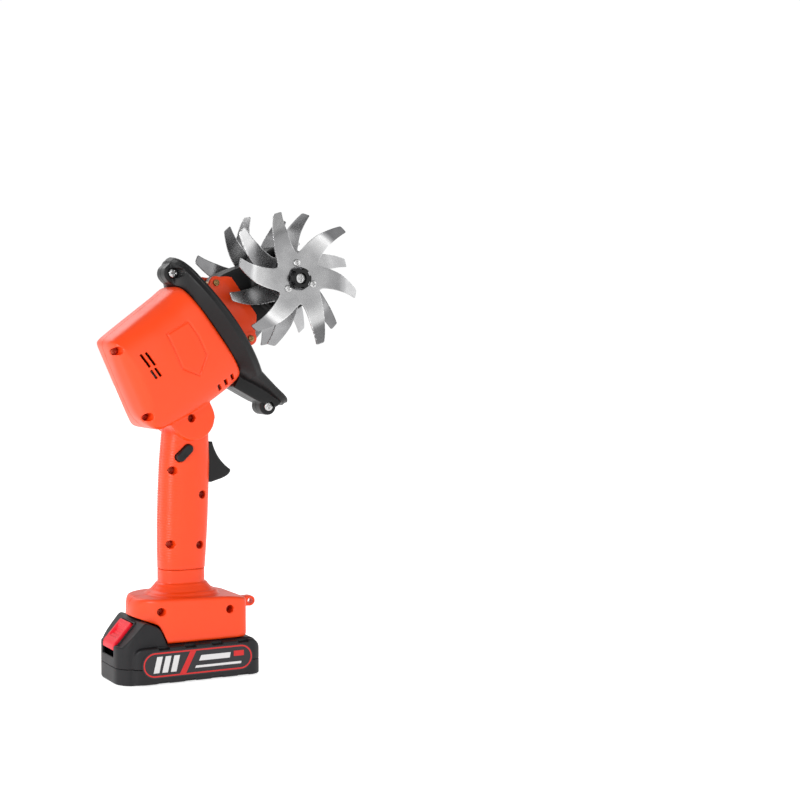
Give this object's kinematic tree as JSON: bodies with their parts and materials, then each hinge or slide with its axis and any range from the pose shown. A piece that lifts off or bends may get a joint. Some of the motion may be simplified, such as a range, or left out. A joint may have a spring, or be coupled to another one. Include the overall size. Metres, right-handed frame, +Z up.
{
  "type": "cordless hand cultivator",
  "caption": "Pistol-grip battery tiller: a tilted drum head with a flared guard turns steel star discs on a cross shaft; a slide-on battery is the stand.",
  "frame": {"origin": "on the rest face, under the middle of the battery, on the plane where the moulded halves meet", "axes": "+X forwards towards the tines, +Z up, +Y to the tool's left; the tine shaft lies along Y"},
  "size_m": [0.202, 0.0986, 0.3691],
  "materials": {
    "orange_plastic": "moulded, fine satin grain",
    "black_plastic": "moulded, satin",
    "tine_steel": "stamped and tumbled",
    "bright_steel": "bright zinc",
    "yellow_zinc": "yellow passivated",
    "gear_steel": "machined, oiled",
    "copper": "varnished copper",
    "magnet": "ferrite and carbon",
    "red_latch": "glossy",
    "label_film": "printed film",
    "cell_wrap": "shrink wrap",
    "circuit_board": "solder mask",
    "red_wire": "silicone",
    "seal_rubber": "nitrile"
  },
  "bodies": {
    "tool": {"housing_right": "orange_plastic", "housing_left": "orange_plastic", "housing_screws": "bright_steel", "foot_right": "orange_plastic", "foot_left": "orange_plastic", "foot_screws": "bright_steel", "guard_right": "black_plastic", "guard_left": "black_plastic", "guard_screws": "bright_steel", "nose_screws": "yellow_zinc", "gear_case_right": "black_plastic", "gear_case_left": "black_plastic", "gear_case_screws": "bright_steel", "shaft_bearing_right": "bright_steel", "shaft_bearing_left": "bright_steel", "shaft_seals": "seal_rubber", "pinion_bearings": "bright_steel", "ring_gear": "gear_steel", "gearbox_plate": "gear_steel", "motor_can": "bright_steel", "motor_end_cap": "black_plastic", "magnets": "magnet", "brushes": "magnet", "trigger_spring": "bright_steel", "trigger_switch": "black_plastic", "motor_leads": "red_wire", "terminal_block": "black_plastic"},
    "tines": {"tine_shaft": "bright_steel", "crown_gear": "gear_steel", "hub_right": "gear_steel", "hub_left": "gear_steel", "disc_right_outer": "tine_steel", "disc_right_inner": "tine_steel", "disc_left_inner": "tine_steel", "disc_left_outer": "tine_steel", "disc_screws": "bright_steel", "hub_caps": "black_plastic", "shaft_end_screws": "bright_steel"},
    "drive": {"drive_shaft": "gear_steel"},
    "planet_1": {"planet_gear_1": "gear_steel"},
    "planet_2": {"planet_gear_2": "gear_steel"},
    "planet_3": {"planet_gear_3": "gear_steel"},
    "rotor": {"sun_gear": "gear_steel", "motor_shaft": "bright_steel", "armature": "copper", "commutator": "copper", "cooling_fan": "black_plastic"},
    "trigger": {"trigger": "black_plastic", "switch_plunger": "bright_steel"},
    "lock": {"lock_button": "black_plastic"},
    "battery": {"battery_upper": "black_plastic", "battery_lower": "black_plastic", "battery_cells": "cell_wrap", "battery_board": "circuit_board", "battery_contacts": "yellow_zinc", "battery_labels": "label_film", "battery_screws": "bright_steel", "latch_spring": "bright_steel"},
    "latch": {"latch_button": "red_latch"}
  },
  "joints": [
    {"name": "tine_spin", "type": "hinge", "parent": "tool", "child": "tines", "pos_m": [0.086, 0, 0.315], "axis": [0, 1, 0], "continuous": true},
    {"name": "drive_spin", "type": "hinge", "parent": "tool", "child": "drive", "pos_m": [0.04555, 0, 0.28561], "axis": [0.809, 0, 0.5878], "continuous": true},
    {"name": "rotor_spin", "type": "hinge", "parent": "tool", "child": "rotor", "pos_m": [-0.01108, 0, 0.24447], "axis": [0.809, 0, 0.5878], "continuous": true},
    {"name": "planet_1_spin", "type": "hinge", "parent": "drive", "child": "planet_1", "pos_m": [0.014, 0.009, 0.26269], "axis": [0.809, 0, 0.5878], "continuous": true},
    {"name": "planet_2_spin", "type": "hinge", "parent": "drive", "child": "planet_2", "pos_m": [0.00942, -0.0045, 0.26899], "axis": [0.809, 0, 0.5878], "continuous": true},
    {"name": "planet_3_spin", "type": "hinge", "parent": "drive", "child": "planet_3", "pos_m": [0.01858, -0.0045, 0.25638], "axis": [0.809, 0, 0.5878], "continuous": true},
    {"name": "trigger_pull", "type": "slide", "parent": "tool", "child": "trigger", "axis": [-1, 0, 0], "range_m": [0, 0.006], "stiffness_N_per_m": 900, "springref_m": -0.003, "deforming": ["trigger_spring"]},
    {"name": "lock_press", "type": "slide", "parent": "tool", "child": "lock", "axis": [0, 1, 0], "range_m": [-0.003, 0.003], "stiffness_N_per_m": 600},
    {"name": "battery_slide", "type": "slide", "parent": "tool", "child": "battery", "axis": [-1, 0, 0], "range_m": [0, 0.1]},
    {"name": "latch_press", "type": "slide", "parent": "battery", "child": "latch", "axis": [0.7501, 0, -0.6613], "range_m": [0, 0.003], "stiffness_N_per_m": 900, "springref_m": -0.002, "deforming": ["latch_spring"]}
  ],
  "couplings": [
    {"joint": "drive_spin", "follows": "tine_spin", "ratio": -4},
    {"joint": "rotor_spin", "follows": "tine_spin", "ratio": -20},
    {"joint": "planet_1_spin", "follows": "tine_spin", "ratio": 10.667},
    {"joint": "planet_2_spin", "follows": "tine_spin", "ratio": 10.667},
    {"joint": "planet_3_spin", "follows": "tine_spin", "ratio": 10.667}
  ]
}
